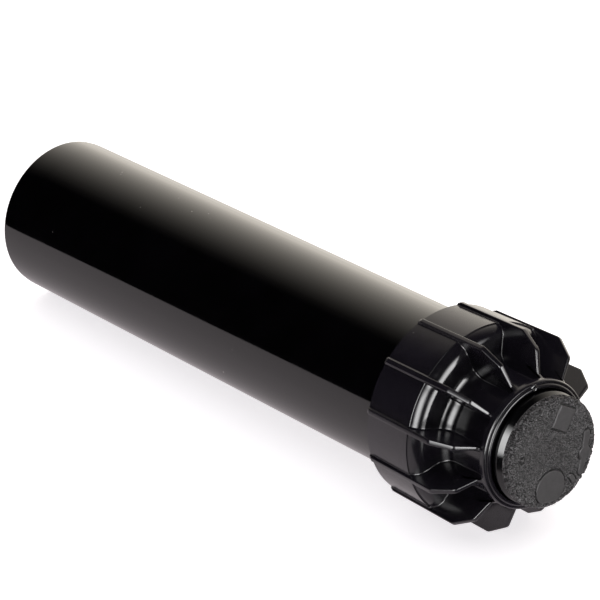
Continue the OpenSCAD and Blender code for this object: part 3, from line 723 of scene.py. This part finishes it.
def make_riser():
    """Riser tube: a plain tube with its flange at the bottom."""
    z0, z1, r, flange = TUBE_LOW.z, TUBE_HIGH.z, TUBE_R, TUBE_FLANGE_R
    wall = [(TUBE_BORE_R, z0), (flange - 0.3, z0), (flange, z0 + 0.3), (flange, z0 + 1.7),
            (flange - 0.3, z0 + 2.0), (r + 0.3, z0 + 2.0), (r, z0 + 2.3)]
    wall += line((r, z0 + 3), (r, z1 - 0.4), 12) + [(r, z1 - 0.4), (r - 0.4, z1), (TUBE_BORE_R, z1)]
    build("riser_shell", *lathe(wall, 192), MATERIALS["turret_plastic"], "riser", "turret_plastic",
          ["riser_tube"])


def smooth_step(low, high, value):
    t = min(1.0, max(0.0, (value - low) / (high - low)))
    return t * t * (3 - 2 * t)


def bar_distance(x, y, ax, ay, bx, by):
    """Distance of a point from a line between two points."""
    dx, dy = bx - ax, by - ay
    t = max(0.0, min(1.0, ((x - ax) * dx + (y - ay) * dy) / (dx * dx + dy * dy)))
    return math.hypot(x - ax - t * dx, y - ay - t * dy)


def mark_distance(x, y):
    """Distance in mm outside the nearest smooth raised mark of the cover, negative inside it."""
    a = math.radians(PATCH_TURN)
    px, py = x - PATCH_CENTRE[0], y - PATCH_CENTRE[1]
    u, v = px * math.cos(a) + py * math.sin(a), -px * math.sin(a) + py * math.cos(a)
    patch = max(abs(u) - PATCH_HALF[0], abs(v) - PATCH_HALF[1])
    port = math.hypot(x - PORT_CENTRE[0], y - PORT_CENTRE[1]) - PORT_R
    arms = min(bar_distance(x, y, *PORT_CENTRE, bx, by) - half for bx, by, half in ARM_ENDS)
    dome = math.hypot(x - DOME_CENTRE[0], y - DOME_CENTRE[1]) - DOME_R
    dash = bar_distance(x, y, *DASH_ENDS) - DASH_R
    dot = math.hypot(x - DOT_CENTRE[0], y - DOT_CENTRE[1]) - DOT_R
    return min(patch, port, arms, dome, dash, dot)


def cover_depth(x, y, z, edge):
    """How far the cover's skin lies below its envelope: pebbles on top, wrinkles on the rim, smooth marks."""
    warp = noise.noise_vector(Vector((x, y, z)) * 0.55) * 0.5
    p = Vector((x, y, z)) + warp
    fine = noise.noise(p * 2.1) * 0.6 + noise.noise(p * 4.0) * 0.35
    pebbles = 0.34 - 0.34 * smooth_step(-0.16, 0.2, fine)
    ridge = 1 - abs(noise.noise(Vector((p.x * 1.15, p.y * 1.15, p.z * 0.55 + 7)))) * 3.4
    second = 1 - abs(noise.noise(Vector((p.x * 2.1 + 5, p.y * 2.1, p.z * 1.1)))) * 3.0
    wrinkles = 0.62 - 0.5 * smooth_step(0.0, 0.75, ridge) - 0.1 * smooth_step(0.2, 0.9, second)
    wrinkles += 0.2 * (pebbles - 0.1)
    depth = pebbles + (wrinkles - pebbles) * edge
    outside = mark_distance(x, y)
    if edge < 0.6:
        raised = 1 - smooth_step(-0.12, 0.08, outside)
        groove = math.exp(-((outside - 0.3) / 0.25) ** 2)
        depth = depth * (1 - raised) + 0.7 * groove * (1 - raised)
        depth = depth if outside > 0.05 else max(0.0, depth)
    return max(0.0, min(0.7, depth))


def make_cover():
    """Rubber cover, modelled as relief: pebbled top, smooth raised marks and a coarsely wrinkled rim."""
    top, low, radius, rounding, around_steps = TOP_Z, COVER_LOW.z, COVER_R, 1.5, 760
    path = [(0.02 + (radius - rounding - 0.02) * i / 116, top, 0.0, 1.0) for i in range(117)]
    for i in range(1, 17):
        a = math.radians(90 - 90 * i / 16)
        path.append((radius - rounding + rounding * math.cos(a), top - rounding + rounding * math.sin(a),
                     math.cos(a), math.sin(a)))
    path += [(radius, top - rounding - (top - rounding - low - 0.6) * i / 18, 1.0, 0.0) for i in range(1, 19)]
    verts, faces = [], []
    for k in range(around_steps):
        a = 2 * math.pi * k / around_steps
        c, d = math.cos(a), math.sin(a)
        for r, z, nr, nz in path:
            edge = smooth_step(radius - 3.0, radius - 1.2, r)
            sink = cover_depth(r * c, r * d, z, edge)
            if z < low + 1.0:
                sink = 0.4 + (sink - 0.4) * smooth_step(low + 0.6, low + 1.0, z)
            verts.append(((r - nr * sink) * c, (r - nr * sink) * d, z - nz * sink))
        verts += [(COVER_FOOT_R * c, COVER_FOOT_R * d, low + 0.55), (COVER_FOOT_R * c, COVER_FOOT_R * d, low),
                  (12.6 * c, 12.6 * d, low + 1.9), (0.02 * c, 0.02 * d, low + 1.9)]
    n = len(path) + 4
    for k in range(around_steps):
        t = (k + 1) % around_steps
        faces += [(k * n + i, t * n + i, t * n + i + 1, k * n + i + 1) for i in range(n - 1)]
    faces.append(tuple(k * n for k in range(around_steps)))
    faces.append(tuple(k * n + n - 1 for k in reversed(range(around_steps))))
    build("cover_skin", verts, faces, MATERIALS["cover_rubber"], "turret", "cover_rubber", ["rubber_cover"],
          sharp=60)


def make_springs():
    """Both coil springs, wound from round wire."""
    riser_r, riser_wire, riser_turns = RISER_COIL
    riser = build("retraction_coil", *coil(riser_r, riser_wire, SPRING_LOW.z, SPRING_HIGH.z, riser_turns),
                  MATERIALS["steel"], "case", "steel", ["retraction_spring"])
    squash_to(riser)
    bypass_r, bypass_wire, bypass_turns = BYPASS_COIL
    bypass = build("bypass_coil", *coil(bypass_r, bypass_wire, BYPASS_LOW.z, BYPASS_HIGH.z, bypass_turns),
                   MATERIALS["steel"], "riser", "steel", ["bypass_spring"])
    squash_to(bypass)


def squash_to(piece):
    """Gives a spring a mesh of its own."""
    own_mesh(piece)


# ------------------------------------------------------------------ carried over CAD nodes
def finish_cad_nodes():
    """Gives each CAD node that still shows the finish of its own slot."""
    slots = {s["node"]: s["material_slot"] for s in RECORD["subparts"]}
    for node, piece in frame["nodes"].items():
        piece.data.materials.clear()
        piece.data.materials.append(MATERIALS[slots[node]])


# ------------------------------------------------------------------ stage
def make_camera():
    """Camera of the product view: a long lens, from the cap's side and above the table."""
    back = direction(CAMERA_HEADING, CAMERA_ELEVATION)
    level = TABLE_UP.cross(back).normalized()
    roll = math.radians(CAMERA_ROLL)
    up = back.cross(level) * math.cos(roll) + level * math.sin(roll)
    right = up.cross(back)
    data = bpy.data.cameras.new("camera")
    data.lens = CAMERA_LENS
    data.sensor_width = 36.0
    data.clip_start, data.clip_end = 0.1, 20
    camera = bpy.data.objects.new("camera", data)
    place = Matrix.Translation(Vector(CAMERA_AIM) * MM + back * CAMERA_DISTANCE)
    camera.matrix_world = place @ Matrix((right, up, back)).transposed().to_4x4()
    bpy.context.scene.collection.objects.link(camera)
    bpy.context.scene.camera = camera


REST_X = -(FIN_R - 0.6) * math.cos(math.pi / FIN_COUNT) - FIN_T / 2 * math.sin(math.pi / FIN_COUNT)
TABLE_SLOPE = math.atan2(-REST_X - CASE_R_BASE, SKIRT_Z + 1 - 1.3)
TABLE_UP = Vector((math.cos(TABLE_SLOPE), 0, math.sin(TABLE_SLOPE)))
TABLE_ALONG = Vector((-math.sin(TABLE_SLOPE), 0, math.cos(TABLE_SLOPE)))
TABLE_SIDE = Vector((0, 1, 0))
TABLE_POINT = Vector((REST_X, 0, SKIRT_Z + 1)) * MM


def table_place(along, side, up):
    """A place over the table, in metres from where the cap touches it."""
    return TABLE_POINT + TABLE_ALONG * along + TABLE_SIDE * side + TABLE_UP * up


def panel(name, centre, across, tall, width, height, material):
    """A flat rectangle on the stage."""
    a, t = across.normalized() * width / 2, tall.normalized() * height / 2
    mesh = bpy.data.meshes.new(name)
    mesh.from_pydata([centre - a - t, centre + a - t, centre + a + t, centre - a + t], [], [(0, 1, 2, 3)])
    piece = bpy.data.objects.new(name, mesh)
    mesh.materials.append(material)
    bpy.context.scene.collection.objects.link(piece)
    return piece


def table_material(name, colour, glow):
    """White card that glows a little, and is clear from below."""
    material, tree, shader, _ = new_material(name)
    shader.inputs["Roughness"].default_value = 0.9
    shader.inputs["Specular IOR Level"].default_value = 0.1
    shader.inputs["Emission Color"].default_value = (*colour, 1)
    shader.inputs["Emission Strength"].default_value = glow
    shader.inputs["Base Color"].default_value = (*colour, 1)
    behind = tree.nodes.new("ShaderNodeNewGeometry")
    clear = tree.nodes.new("ShaderNodeBsdfTransparent")
    mix = tree.nodes.new("ShaderNodeMixShader")
    tree.links.new(behind.outputs["Backfacing"], mix.inputs["Fac"])
    tree.links.new(shader.outputs["BSDF"], mix.inputs[1])
    tree.links.new(clear.outputs["BSDF"], mix.inputs[2])
    tree.links.new(mix.outputs["Shader"], tree.nodes["Material Output"].inputs["Surface"])
    return material


def glow_material(name, strength, ramps):
    """A light panel, its brightness set along axes of its own: ramps are (axis, low, high, stops)."""
    material = bpy.data.materials.new(name)
    material.use_nodes = True
    tree = material.node_tree
    tree.nodes.clear()
    glow = tree.nodes.new("ShaderNodeEmission")
    glow.inputs["Strength"].default_value = strength
    coords = tree.nodes.new("ShaderNodeTexCoord")
    split = tree.nodes.new("ShaderNodeSeparateXYZ")
    tree.links.new(coords.outputs["Object"], split.inputs["Vector"])
    colour = None
    for axis, low, high, stops in ramps:
        place = tree.nodes.new("ShaderNodeMapRange")
        tree.links.new(split.outputs[axis], place.inputs["Value"])
        place.inputs["From Min"].default_value = low
        place.inputs["From Max"].default_value = high
        tone = add_ramp(tree, place.outputs["Result"], stops)
        colour = multiply(tree, colour, tone) if colour else tone
    tree.links.new(colour, glow.inputs["Color"])
    out = tree.nodes.new("ShaderNodeOutputMaterial")
    tree.links.new(glow.outputs["Emission"], out.inputs["Surface"])
    return material


def direction(heading, elevation):
    """Direction over the table in degrees: heading from along the case to its side, and elevation."""
    h, e = math.radians(heading), math.radians(elevation)
    return (TABLE_ALONG * math.cos(h) + TABLE_SIDE * math.sin(h)) * math.cos(e) + TABLE_UP * math.sin(e)


def make_softbox(name, heading, lean, low, high, wide, distance, strength):
    """A softbox between two elevations, leaning to one side, brightest in its middle, for reflections."""
    target = Vector((0, 0, 205 * MM))
    bottom = target + direction(heading, low) * distance
    top = target + direction(heading + lean, high) * distance
    middle, tall = (bottom + top) / 2, (top - bottom).normalized()
    facing = (target - middle).normalized()
    across = tall.cross(facing)
    width, height = 2 * distance * math.tan(math.radians(wide / 2)), (top - bottom).length
    across_stops = [(0.0, 0.0), (0.12, 0.3), (0.34, 1.0), (0.66, 1.0), (0.88, 0.3), (1.0, 0.0)]
    upright_stops = [(0.0, 0.0), (0.1, 0.5), (0.2, 1.0), (0.66, 1.0), (0.84, 0.4), (1.0, 0.0)]
    ramps = [("X", -width / 2, width / 2, across_stops), ("Y", -height / 2, height / 2, upright_stops)]
    box = panel(name, Vector(), Vector((1, 0, 0)), Vector((0, 1, 0)), width, height,
                glow_material(name, strength, ramps))
    box.matrix_world = Matrix.Translation(middle) @ Matrix((across, tall, facing)).transposed().to_4x4()
    gloss_only(box)


def gloss_only(*pieces):
    """Stage pieces that show in reflections alone."""
    for piece in pieces:
        for kind in ("visible_camera", "visible_diffuse", "visible_shadow", "visible_transmission"):
            setattr(piece, kind, False)


def make_stage():
    """Table, a glowing stand-in for the table as reflections see it with a painted shadow along the object,
    two softboxes and a soft overhead light.
    """
    white = table_material("table_card", (0.9, 0.88, 0.9), 0.86)
    table = panel("table", table_place(-0.1, 0, 0), TABLE_ALONG, TABLE_UP.cross(TABLE_ALONG), 2.4, 2.4, white)
    table.visible_glossy = False
    corners = [(-1.2, -1.5), (0.05, -1.5), (0.05, 0.24), (-0.21, 0.24), (-0.22, 0.16), (-0.27, 0.1),
               (-1.2, -0.5)]
    mesh = bpy.data.meshes.new("table_in_gloss")
    mesh.from_pydata([table_place(a, b, 0) for a, b in corners], [], [tuple(range(len(corners)))])
    shiny = bpy.data.objects.new("table_in_gloss", mesh)
    bpy.context.scene.collection.objects.link(shiny)
    # painted shadow: the stand-in's glow dips to its darkest along the object's line and brightens away from
    # it, most on the far side
    near, far = (1, 0.91, 0.94), (1, 0.94, 0.84)
    glow_with_painted_shadow = ((-0.4, 1.7, far), (-0.2, 1.5, far), (0.0, 0.5, near), (0.05, 0.8, near), (0.1, 0.85, near))
    stops = [(side + 0.5, tuple(level * c for c in tint)) for side, level, tint in glow_with_painted_shadow]
    mesh.materials.append(glow_material("table_glow_with_painted_shadow", 1.0, [("Y", -0.5, 0.5, stops)]))
    gloss_only(shiny)
    make_softbox("softbox_side", 62, 0, -8, 48, 44, 0.9, 13)
    make_softbox("softbox_end", 0, -22, -21, 31, 44, 0.9, 13)
    soft = bpy.data.lights.new("overhead", "AREA")
    soft.shape = "DISK"
    soft.size = 2.6
    soft.energy = 17
    lamp = bpy.data.objects.new("overhead", soft)
    lamp.location = TABLE_POINT + TABLE_UP * 1.3
    lamp.rotation_mode = "QUATERNION"
    lamp.rotation_quaternion = TABLE_UP.to_track_quat("Z", "Y")
    lamp.visible_glossy = False
    bpy.context.scene.collection.objects.link(lamp)


def make_world():
    """White all round for the camera; for reflections, a warm backdrop on one side and dark elsewhere."""
    world = bpy.data.worlds.new("studio")
    bpy.context.scene.world = world
    world.use_nodes = True
    tree = world.node_tree
    tree.nodes.clear()
    coords = tree.nodes.new("ShaderNodeTexCoord")
    dot = tree.nodes.new("ShaderNodeVectorMath")
    dot.operation = "DOT_PRODUCT"
    dot.inputs[1].default_value = direction(BACKDROP_HEADING, 0)
    tree.links.new(coords.outputs["Generated"], dot.inputs[0])
    tint = (1, 0.93, 0.83)
    stops = []
    for step in range(BACKDROP_STEPS + 1):
        near = step / BACKDROP_STEPS
        level = BACKDROP_PEAK * near ** BACKDROP_POWER
        stops.append((BACKDROP_EDGE + (1 - BACKDROP_EDGE) * near, tuple(level * c for c in tint)))
    backdrop = tree.nodes.new("ShaderNodeBackground")
    tree.links.new(add_ramp(tree, dot.outputs["Value"], stops), backdrop.inputs["Color"])
    white = tree.nodes.new("ShaderNodeBackground")
    white.inputs["Color"].default_value = (1, 1, 1, 1)
    white.inputs["Strength"].default_value = 1.2
    path = tree.nodes.new("ShaderNodeLightPath")
    mix = tree.nodes.new("ShaderNodeMixShader")
    tree.links.new(path.outputs["Is Camera Ray"], mix.inputs["Fac"])
    tree.links.new(backdrop.outputs["Background"], mix.inputs[1])
    tree.links.new(white.outputs["Background"], mix.inputs[2])
    out = tree.nodes.new("ShaderNodeOutputWorld")
    tree.links.new(mix.outputs["Shader"], out.inputs["Surface"])
    bpy.context.scene.view_settings.view_transform = "Standard"


make_camera()
finish_cad_nodes()
make_case()
make_cap()
make_housing()
make_riser()
make_cover()
make_springs()
make_stage()
make_world()
